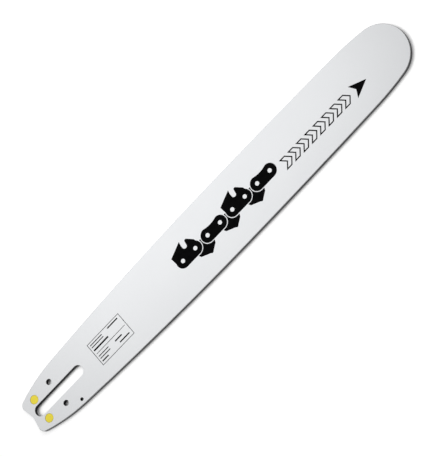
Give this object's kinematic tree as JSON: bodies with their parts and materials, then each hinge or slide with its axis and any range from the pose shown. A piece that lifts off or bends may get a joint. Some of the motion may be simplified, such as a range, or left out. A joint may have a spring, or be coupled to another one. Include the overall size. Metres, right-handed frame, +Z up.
{
  "type": "chainsaw guide bar",
  "caption": "Solid hard-nosed chainsaw guide bar: a long bellied steel plate with a chain groove round its rim, a stud slot, tensioner holes, oil inlets and round oil dams in its tail.",
  "frame": {"origin": "centre of the bounding box, on the underside that the bar lies on", "axes": "+X along the bar from the tail to the nose, +Y across the bar towards the picture's upper left edge, +Z up out of the printed face"},
  "size_m": [0.52, 0.07, 0.0048],
  "materials": {
    "bar_paint": "satin light grey paint on the faces, bare dark ground steel on the rails, groove and cut walls",
    "dam_plastic": "matt moulded yellow"
  },
  "bodies": {
    "root": {"guide_bar": "bar_paint", "oil_dam_upper": "dam_plastic", "oil_dam_lower": "dam_plastic"}
  },
  "joints": []
}
